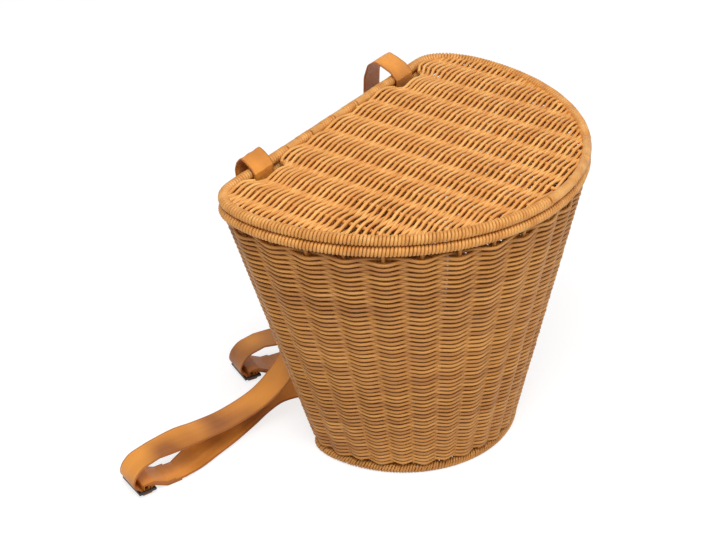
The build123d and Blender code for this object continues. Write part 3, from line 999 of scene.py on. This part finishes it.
@dataclass
class Strap:
    """One shoulder strap: top loop, hanging webbing, slider and the return to the foot."""

    name: str
    side: int
    wall: WovenWall
    lid_height: float
    rim_height: float
    loop: list[tuple[float, float, float]]
    joint: tuple[float, float]
    hanging: list[tuple[float, ...]]
    lying: list[tuple[float, ...]]
    slider: tuple[float, float, float]
    columns: int = 10
    inside: float = 6.6 * MM
    bend: float = 1.5 * MM

    def on_wall(self, height: float, layer: int) -> float:
        """How far back the webbing lies on the wall; layer 0 touches the weave."""
        wall = self.wall.back * self.wall.scale_at(height)
        return wall + FLOAT_OUT + SEAT_GAP + (layer + 0.5) * WEBBING_THICKNESS

    def loop_stations(self) -> list[Station]:
        """The loop from its sewn end through the rim gap and the lid, over and down the back.

        Returns:
            Its stations.
        """
        gap_middle = self.rim_height - WHIPPING_RADIUS - RIM_GAP / 2
        top = self.lid_height + self.joint[0] * MM
        foot = self.lid_height + self.joint[1] * MM
        inside = self.wall.back - self.inside
        rows = [(self.on_wall(foot, 0), foot, 0.0), (self.on_wall(gap_middle, 0), gap_middle, self.bend)]
        rows += [(inside, gap_middle, self.bend), (inside, self.lid_height + 2 * MM, self.bend)]
        for back, up, turn in self.loop:
            rows.append((self.wall.back + back * MM, self.lid_height + up * MM, turn * MM))
        rows += [(self.on_wall(top, 1), top, self.bend), (self.on_wall(foot, 1), foot, 0.0)]
        x = self.side * self.wall.bay_side(TOP_LOOP_BAY, self.wall.top)
        return [Station(Vector((x, y, z)), Vector((1, 0, 0))) for y, z in rounded(rows)]

    def slider_plane(self) -> tuple[Vector, Vector, Vector]:
        """Finds how the slider lies.

        Returns:
            The middle of its middle bar, the direction outwards along the webbing and that across it.
        """
        x, y, heading = self.slider
        turn = math.radians(heading)
        outwards = Vector((math.cos(turn), math.sin(turn), 0))
        across = Vector((math.sin(turn), -math.cos(turn), 0))
        return Vector((x * MM, y * MM, SLIDER_HEIGHT)), outwards, across

    def slider_stations(self, rows: list[tuple[float, float, float]]) -> list[Station]:
        """Turns a line in the slider's upright plane to stations.

        Args:
            rows: its corners in mm outwards and up from the middle bar, each with its bend radius.

        Returns:
            The stations along the rounded line.
        """
        middle, outwards, across = self.slider_plane()
        stations = []
        for along, up in rounded(rows):
            stations.append(Station(middle + outwards * (along * MM) + Vector((0, 0, up * MM)), across))
        return stations

    def free_stations(self, rows: list[tuple[float, ...]], steps: int = 9) -> list[Station]:
        """Lays stations on a smooth curve.

        Args:
            rows: place in mm, direction across and, where it isn't the full one, width in mm.
            steps: how many stations lie from row to row.

        Returns:
            The stations.
        """
        return [
            Station(Vector(row[:3]) * MM, Vector(row[3:6]), row[6] * MM if len(row) > 6 else WEBBING_WIDTH)
            for row in smooth_rows(rows, steps)
        ]

    def upper_stations(self) -> list[Station]:
        """The upper webbing from its sewn loop to its tail through the slider.

        Returns:
            Its stations.
        """
        loop = self.loop_stations()
        end = loop[-1].place / MM
        threaded = [(-14.0, 27.5, 0), (2.0, 23.5, 16), (10.0, 15.5, 14), (11.2, 6.5, 6.5)]
        threaded += [(3.9, 0.5, 2.5), (3.9, -3.75, 1), (-4.85, -3.75, 1), (-4.85, 2.15, 1)]
        threaded += [(-8.2, 2.15, 2), (-20.3, -3.9, 6), (-34.0, -3.9, 0)]
        tail = self.slider_stations(threaded)
        first = tail[0].place / MM
        rows = [(end.x, end.y, end.z, 1, 0, 0)] + list(self.hanging)
        rows += [(first.x, first.y, first.z, *tail[0].across)]
        return loop[:-1] + self.free_stations(rows)[:-1] + tail

    def lower_stations(self) -> list[Station]:
        """The lower webbing from its sewn end round the slider to the wall.

        Returns:
            Its stations.
        """
        threaded = [(-28.0, -1.0, 0), (-20.3, -1.0, 6), (-8.2, 5.05, 2), (2.15, 5.05, 1)]
        threaded += [(2.15, -2.15, 1), (-2.15, -2.15, 1), (-2.15, 3.75, 1), (-8.2, 3.75, 2)]
        threaded += [(-20.3, -2.3, 6), (-38.0, -2.3, 0)]
        start = self.slider_stations(threaded)
        last = start[-1].place / MM
        height = LOWER_END_HEIGHT / MM
        wall = self.wall.back * self.wall.scale_at(LOWER_END_HEIGHT) / MM
        x = self.side * self.wall.bay_side(LOWER_END_BAY, LOWER_END_HEIGHT) / MM
        inner = wall - (FLOAT_OUT + SEAT_GAP) / MM
        narrow = LOWER_END_WIDTH / MM
        rows = [(last.x, last.y, last.z, *start[-1].across, 25.0)]
        rows += [(*row, 25.0) for row in self.lying]
        rows += [(x, wall + 20, height - 2, 1, 0, -self.side * 0.35, 19.5)]
        rows += [(x, wall + 8, height, 1, 0, 0, narrow), (x, inner - 2, height, 1, 0, 0, narrow)]
        return start[:-1] + self.free_stations(rows)

    def webbing(
        self, name: str, stations: list[Station], crease: float, first: float, last: float,
    ) -> Object:
        """Lays a strip of webbing through stations.

        Args:
            name: the piece's name.
            stations: its cross-sections.
            crease: depth of the lengthwise creases.
            first: length from the start where the creases begin to fade in.
            last: length from the start where they have faded out.

        Returns:
            The mesh object.
        """
        rows = len(stations) - 1
        strip = add_mesh(
            name, bpy.ops.mesh.primitive_grid_add,
            x_subdivisions=self.columns, y_subdivisions=rows, size=2, calc_uvs=True,
        )
        lengths = [0.0]
        for here, there in zip(stations, stations[1:]):
            lengths.append(lengths[-1] + (there.place - here.place).length)
        uv_map = strip.data.uv_layers[0]
        uv_map.name = "Strap"
        flat = {}
        for vertex in strip.data.vertices:
            share = vertex.co.x / 2
            index = round((vertex.co.y + 1) / 2 * rows)
            station = stations[index]
            ahead = stations[min(index + 1, rows)].place
            behind = stations[max(index - 1, 0)].place
            along = (ahead - behind).normalized()
            across = (station.across - along * station.across.dot(along)).normalized()
            normal = across.cross(along)
            length = lengths[index]
            fade = ease((length - first) / (10 * MM)) * (1 - ease((length - last) / (10 * MM)))
            fold = crease * fade * math.cos(share * 4 * math.pi + 0.6) * (1 - 0.6 * abs(share * 2))
            soft = 0.25 * MM * wander(length / (35 * MM), share * 1.5, self.side * 4.0)
            gathered = (1 - station.width / WEBBING_WIDTH) * 1.6 * MM * math.cos(share * 6 * math.pi)
            flat[vertex.index] = (share * station.width, length)
            vertex.co = station.place + across * (share * station.width) + normal * (fold + soft + gathered)
        for loop in strip.data.loops:
            uv_map.data[loop.index].uv = flat[loop.vertex_index]
        apply_modifier(
            strip, "SOLIDIFY", thickness=WEBBING_THICKNESS * 0.9, offset=0.0, use_even_offset=False,
        )
        round_edges(strip, 0.3 * MM, segments=2, sharp=60, smooth=50)
        return strip

    def hem(self) -> Object:
        """Makes the folded and sewn end inside the wall.

        Returns:
            The mesh object.
        """
        wall = self.wall.back * self.wall.scale_at(LOWER_END_HEIGHT)
        thickness = 3 * WEBBING_THICKNESS
        x = self.side * self.wall.bay_side(LOWER_END_BAY, LOWER_END_HEIGHT)
        y = wall - FLOAT_OUT - 2 * SEAT_GAP - thickness / 2
        block = add_mesh(f"strap_{self.name}_hem", bpy.ops.mesh.primitive_cube_add, size=1)
        rise = self.wall.top - self.wall.foot
        run = self.wall.back * (WALL_TOP_SCALE - WALL_FOOT_SCALE)
        block.scale = (WEBBING_WIDTH, thickness, 16 * MM)
        block.rotation_euler = (-math.atan2(run, rise), 0, 0)
        block.location = (x, y, LOWER_END_HEIGHT)
        bpy.ops.object.transform_apply(location=True, rotation=True, scale=True)
        bpy.ops.object.mode_set(mode="EDIT")
        bpy.ops.mesh.select_all(action="SELECT")
        bpy.ops.mesh.subdivide(number_cuts=5)
        bpy.ops.object.mode_set(mode="OBJECT")
        block.data.uv_layers[0].name = "Strap"
        round_edges(block, 1.0 * MM)
        return block

    def slider_frame(self) -> Object:
        """Makes the three-bar slider: a grid with two cells opened, thickened and rounded.

        Returns:
            The mesh object.
        """
        near = 0.5 * SLIDER_BAR
        far = near + SLIDER_SLOT
        end = far + SLIDER_BAR
        along = [-end, -far, -near, near, far, end]
        aside = [-SLIDER_WIDTH / 2, -SLIDER_INSIDE / 2, SLIDER_INSIDE / 2, SLIDER_WIDTH / 2]
        plate = add_mesh(
            f"slider_{self.name}_moulding", bpy.ops.mesh.primitive_grid_add,
            x_subdivisions=5, y_subdivisions=3, size=2,
        )
        middle, outwards, across = self.slider_plane()
        for vertex in plate.data.vertices:
            column = round((vertex.co.x + 1) / 2 * 5)
            row = round((vertex.co.y + 1) / 2 * 3)
            vertex.co = middle + outwards * along[column] + across * aside[row]
        bpy.ops.object.mode_set(mode="EDIT")
        bpy.ops.mesh.select_all(action="DESELECT")
        bpy.ops.object.mode_set(mode="OBJECT")
        for face in plate.data.polygons:
            place = face.center - middle
            off_slot = abs(abs(place.dot(outwards)) - (near + far) / 2)
            in_slot = off_slot < SLIDER_SLOT / 4
            face.select = in_slot and abs(place.dot(across)) < SLIDER_INSIDE / 4
        bpy.ops.object.mode_set(mode="EDIT")
        bpy.ops.mesh.delete(type="FACE")
        bpy.ops.object.mode_set(mode="OBJECT")
        apply_modifier(plate, "SOLIDIFY", thickness=SLIDER_THICKNESS, offset=0.0)
        round_edges(plate, 0.5 * MM)
        return plate

    def build(self, webbing: Material, moulding: Material) -> None:
        """Builds the strap's webbing, hem and slider and dresses them.

        Args:
            webbing: the webbing's finish.
            moulding: the slider's finish.
        """
        upper = self.webbing(
            f"strap_{self.name}_upper_webbing", self.upper_stations(), 0.35 * MM, 60 * MM, 120 * MM,
        )
        lower = self.webbing(f"strap_{self.name}_lower_webbing", self.lower_stations(), 0.0, 0.0, 0.0)
        dress(upper, webbing, Body.BASKET, Slot.WEBBING, f"strap_{self.name}_upper")
        dress(lower, webbing, Body.BASKET, Slot.WEBBING, f"strap_{self.name}_lower")
        dress(self.hem(), webbing, Body.BASKET, Slot.WEBBING, f"strap_{self.name}_lower")
        dress(self.slider_frame(), moulding, Body.BASKET, Slot.SLIDER, f"slider_{self.name}")


@dataclass
class Studio:
    """Camera at the photograph's angle, soft lamps, and a white floor and surround."""

    image_width: int = 716
    focal_pixels: float = 1668.5
    place: tuple[float, float, float] = (-1.0338, -0.6129, 0.8968)
    azimuth: float = -56.08
    elevation: float = 31.8
    floor_size: float = 14.0

    def build(self) -> None:
        """Sets the camera, the lamps, the floor and the world."""
        scene = bpy.context.scene
        scene.view_settings.view_transform = "Standard"
        self.add_camera(scene)
        self.add_lamp("key_lamp", (-0.9, -0.5, 1.9), 1.0, 29.0)
        self.add_lamp("fill_lamp", (0.6, -1.7, 1.1), 1.4, 7.0)
        self.add_floor()
        self.light_world(scene)

    def add_camera(self, scene: Scene) -> None:
        """Adds the camera and makes it the scene's own.

        Args:
            scene: the scene.
        """
        data = bpy.data.cameras.new("camera")
        data.sensor_width = 36.0
        data.lens = self.focal_pixels / self.image_width * data.sensor_width
        data.clip_start, data.clip_end = 0.01, 50.0
        camera = bpy.data.objects.new("camera", data)
        scene.collection.objects.link(camera)
        camera.location = self.place
        camera.rotation_euler = (math.radians(90 - self.elevation), 0, math.radians(self.azimuth))
        scene.camera = camera

    def add_lamp(self, name: str, place: tuple[float, float, float], size: float, power: float) -> None:
        """Adds one soft lamp that faces the basket.

        Args:
            name: the lamp's name.
            place: where it hangs.
            size: the side of its square face.
            power: its power in watts.
        """
        data = bpy.data.lights.new(name, "AREA")
        data.size = size
        data.energy = power
        lamp = bpy.data.objects.new(name, data)
        bpy.context.scene.collection.objects.link(lamp)
        lamp.location = place
        lamp.rotation_euler = (Vector((0, 0, 0.14)) - Vector(place)).to_track_quat("-Z", "Y").to_euler()

    def add_floor(self) -> None:
        """Adds the pale floor: white to the camera where it is lit, and it keeps the object's shadow."""
        floor = add_mesh("studio_floor", bpy.ops.mesh.primitive_plane_add, size=self.floor_size)
        material, tree = new_material("painted_floor")
        seen = self.seen_rays(tree)
        plain = add_node(tree, "BsdfDiffuse", {"Color": linear("EDEDED")})
        glow = add_node(tree, "Emission", {"Color": linear("FFFFFF"), "Strength": 0.74})
        lit = add_node(tree, "BsdfDiffuse", {"Color": linear("A6A6A6")})
        both = add_node(tree, "AddShader", {0: glow, 1: lit})
        mixed = add_node(tree, "MixShader", {0: seen, 1: plain, 2: both})
        add_node(tree, "OutputMaterial", {"Surface": mixed})
        floor.data.materials.append(material)

    def seen_rays(self, tree: NodeTree) -> Node:
        """Tells the rays that show a surface from those that carry light.

        Args:
            tree: the node tree.

        Returns:
            A node that gives 1 for camera, mirror and see-through rays and 0 for the others.
        """
        path = add_node(tree, "LightPath")
        first = add_node(tree, "Math", {
            0: path.outputs["Is Camera Ray"], 1: path.outputs["Is Glossy Ray"],
        }, operation="MAXIMUM")
        second = add_node(tree, "Math", {
            0: first, 1: path.outputs["Is Transmission Ray"],
        }, operation="MAXIMUM")
        return second

    def light_world(self, scene: Scene) -> None:
        """Lights the surround evenly, and shows it white.

        Args:
            scene: the scene.
        """
        world = bpy.data.worlds.new("surround")
        scene.world = world
        world.use_nodes = True
        tree = world.node_tree
        tree.nodes.clear()
        seen = self.seen_rays(tree)
        light = add_node(tree, "Background", {"Color": linear("FFFFFF"), "Strength": 0.42})
        white = add_node(tree, "Background", {"Color": linear("FFFFFF"), "Strength": 1.0})
        mixed = add_node(tree, "MixShader", {0: seen, 1: light, 2: white})
        add_node(tree, "OutputWorld", {"Surface": mixed})


LEFT_LOOP = [
    (-3.6, 6.2, 8), (2.5, 10.8, 8), (6.8, 12.6, 1.6), (10.5, 8.0, 5),
    (12.3, 1.6, 8), (11.6, -5.0, 30), (8.0, -28.0, 20),
]
RIGHT_LOOP = [
    (0.5, 8.5, 9), (9.0, 12.0, 20), (17.0, 14.5, 3), (24.0, 9.5, 6), (27.8, -3.0, 20),
    (28.0, -18.0, 15), (24.0, -34.0, 15), (12.0, -47.0, 20), (0.0, -58.0, 12),
]
LEFT_UPPER = [
    (-102, 112, 180, 0.85, 0.5, 0), (-90, 115, 150, 0.65, 0.75, 0),
    (-74, 110, 122, 0.55, 0.83, 0), (-66, 106, 95, 0.45, 0.89, 0),
    (-66, 105, 76, 0.36, 0.93, 0.02), (-71, 107, 62, 0.29, 0.96, 0.06),
    (-81, 111, 48, 0.25, 0.96, 0.08), (-95, 116, 37, 0.27, 0.96, 0.05),
    (-111, 121, 31, 0.26, 0.96, 0.04), (-137, 128, 28, 0.25, 0.97, 0.06),
    (-163, 134, 30, 0.25, 0.96, 0.11), (-186, 139, 33, 0.27, 0.94, 0.2),
]
RIGHT_UPPER = [
    (106, 106, 150, 0.9, 0.4, 0), (106, 110, 122, 0.75, 0.65, 0),
    (101, 111, 97, 0.6, 0.8, -0.05), (90, 112, 72, 0.52, 0.85, -0.04),
    (76, 117, 50, 0.47, 0.88, 0), (60, 125, 37, 0.46, 0.89, 0),
    (42, 134, 29, 0.45, 0.89, 0.03), (22, 144, 26, 0.45, 0.89, 0.06),
    (0, 155, 29, 0.46, 0.88, 0.1), (-15, 163, 32, 0.46, 0.88, 0.1),
]
LEFT_LOWER = [
    (-172, 136, 5.5, 0.38, 0.87, 0.32), (-154, 134, 8.0, 0.4, 0.85, 0.48),
    (-131, 132, 9.5, 0.42, 0.82, 0.54), (-107, 132, 10.0, 0.45, 0.8, 0.5),
    (-85, 131, 12, 0.5, 0.76, 0.4), (-66, 125, 16.5, 0.6, 0.6, 0.5),
    (-52, 110, 21, 0.8, 0.35, 0.5),
]
RIGHT_LOWER = [
    (10, 152, 2.2, 0.45, 0.89, 0), (28, 142, 5.2, 0.42, 0.86, 0.2),
    (41, 129, 9.8, 0.4, 0.7, 0.5), (48, 112, 14.5, 0.6, 0.5, 0.58),
]


def main() -> None:
    """Builds the backpack's pieces in order, then the studio."""
    logging.basicConfig(level=logging.INFO, format="%(name)s %(message)s")
    rod_low, rod_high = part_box("lid_hoop")
    body_low, body_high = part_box("body_hoop")
    outline = Outline(rod_high.x - rod_low.x - 2 * ROD_RADIUS, rod_high.y - rod_low.y - 2 * ROD_RADIUS)
    lid_height = (rod_low.z + rod_high.z) / 2
    rim_height = (body_low.z + body_high.z) / 2
    # One strand material in three copies: the lid's is painted lighter as the light on its upward face, the
    # wall's darker as painted shade on the upright sides, the rim's between them
    wall_strand_painted_shade = WickerFinish(
        "extruded_polyethylene_wall_painted_shade", "AC7030", "BD8037", "CE9246", (60 * MM, 60 * MM, 5 * MM),
    ).build()
    lid_strand_painted_light = WickerFinish(
        "extruded_polyethylene_lid_painted_light", "DA9446", "E6A454", "F2B666", (30 * MM, 4 * MM, 40 * MM),
    ).build()
    rim_strand_painted_half_light = WickerFinish(
        "extruded_polyethylene_rim_painted_half_light", "C8863C", "D69548", "E2A558", (12 * MM, 12 * MM, 12 * MM),
    ).build()
    webbing = WebbingFinish().build()
    moulding = MouldedFinish("moulded_nylon", "15110D", "221B15", 0.38).build()
    coated_wire = MouldedFinish("plastic_coated_steel_wire", "6E5231", "7C5E3A", 0.5).build()

    wall_top = rim_height - WHIPPING_RADIUS - RIM_GAP
    wall = WovenWall(outline, 2 * BORDER_RADIUS + SEAT_GAP, wall_top, outline.back)
    wall.build(wall_strand_painted_shade)
    half = outline.length / 2
    Whipping(
        "body_whipping_strand", outline, rim_height, Body.BASKET, Slot.WHIPPING, "body_whipping",
    ).build(rim_strand_painted_half_light)
    front_ties = [(half + place * MM, 1) for place in (-97, -58, -20, 18)]
    patches = [stake * LID_STAKE_PITCH + 3 * MM for stake in (-2, -1, 0, 1)]
    smooth = [(start, start + 15 * MM) for start in patches] + [(half - 100 * MM, half + 20 * MM)]
    Whipping(
        "lid_whipping_strand", outline, lid_height, Body.LID, Slot.WHIPPING, "lid_whipping",
        smooth=smooth, ties=front_ties,
    ).build(rim_strand_painted_half_light)
    Whipping(
        "foot_border_strand", outline, BORDER_RADIUS, Body.BASKET, Slot.WEAVE, "foot_border",
        scale=WALL_FOOT_SCALE, outer=BORDER_RADIUS, strand=2.3 * MM, pitch=2.5 * MM, starts=3, unrest=0.3,
    ).build(wall_strand_painted_shade)
    LidMat(outline, lid_height, wall.bay_side(TOP_LOOP_BAY, wall.top)).build(lid_strand_painted_light)
    BaseMat(outline).build(wall_strand_painted_shade)
    Strap(
        "left", -1, wall, lid_height, rim_height, LEFT_LOOP, (-45.0, -62.0), LEFT_UPPER, LEFT_LOWER,
        (-224.6, 152.5, 159.0),
    ).build(webbing, moulding)
    Strap(
        "right", 1, wall, lid_height, rim_height, RIGHT_LOOP, (-70.0, -84.0), RIGHT_UPPER, RIGHT_LOWER,
        (-42.7, 178.2, 153.0),
    ).build(webbing, moulding)
    for node in ("body_hoop", "lid_hoop"):
        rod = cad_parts[node]
        rod.data.materials.clear()
        rod.data.materials.append(coated_wire)
    Studio().build()


if __name__ == "__main__":
    main()
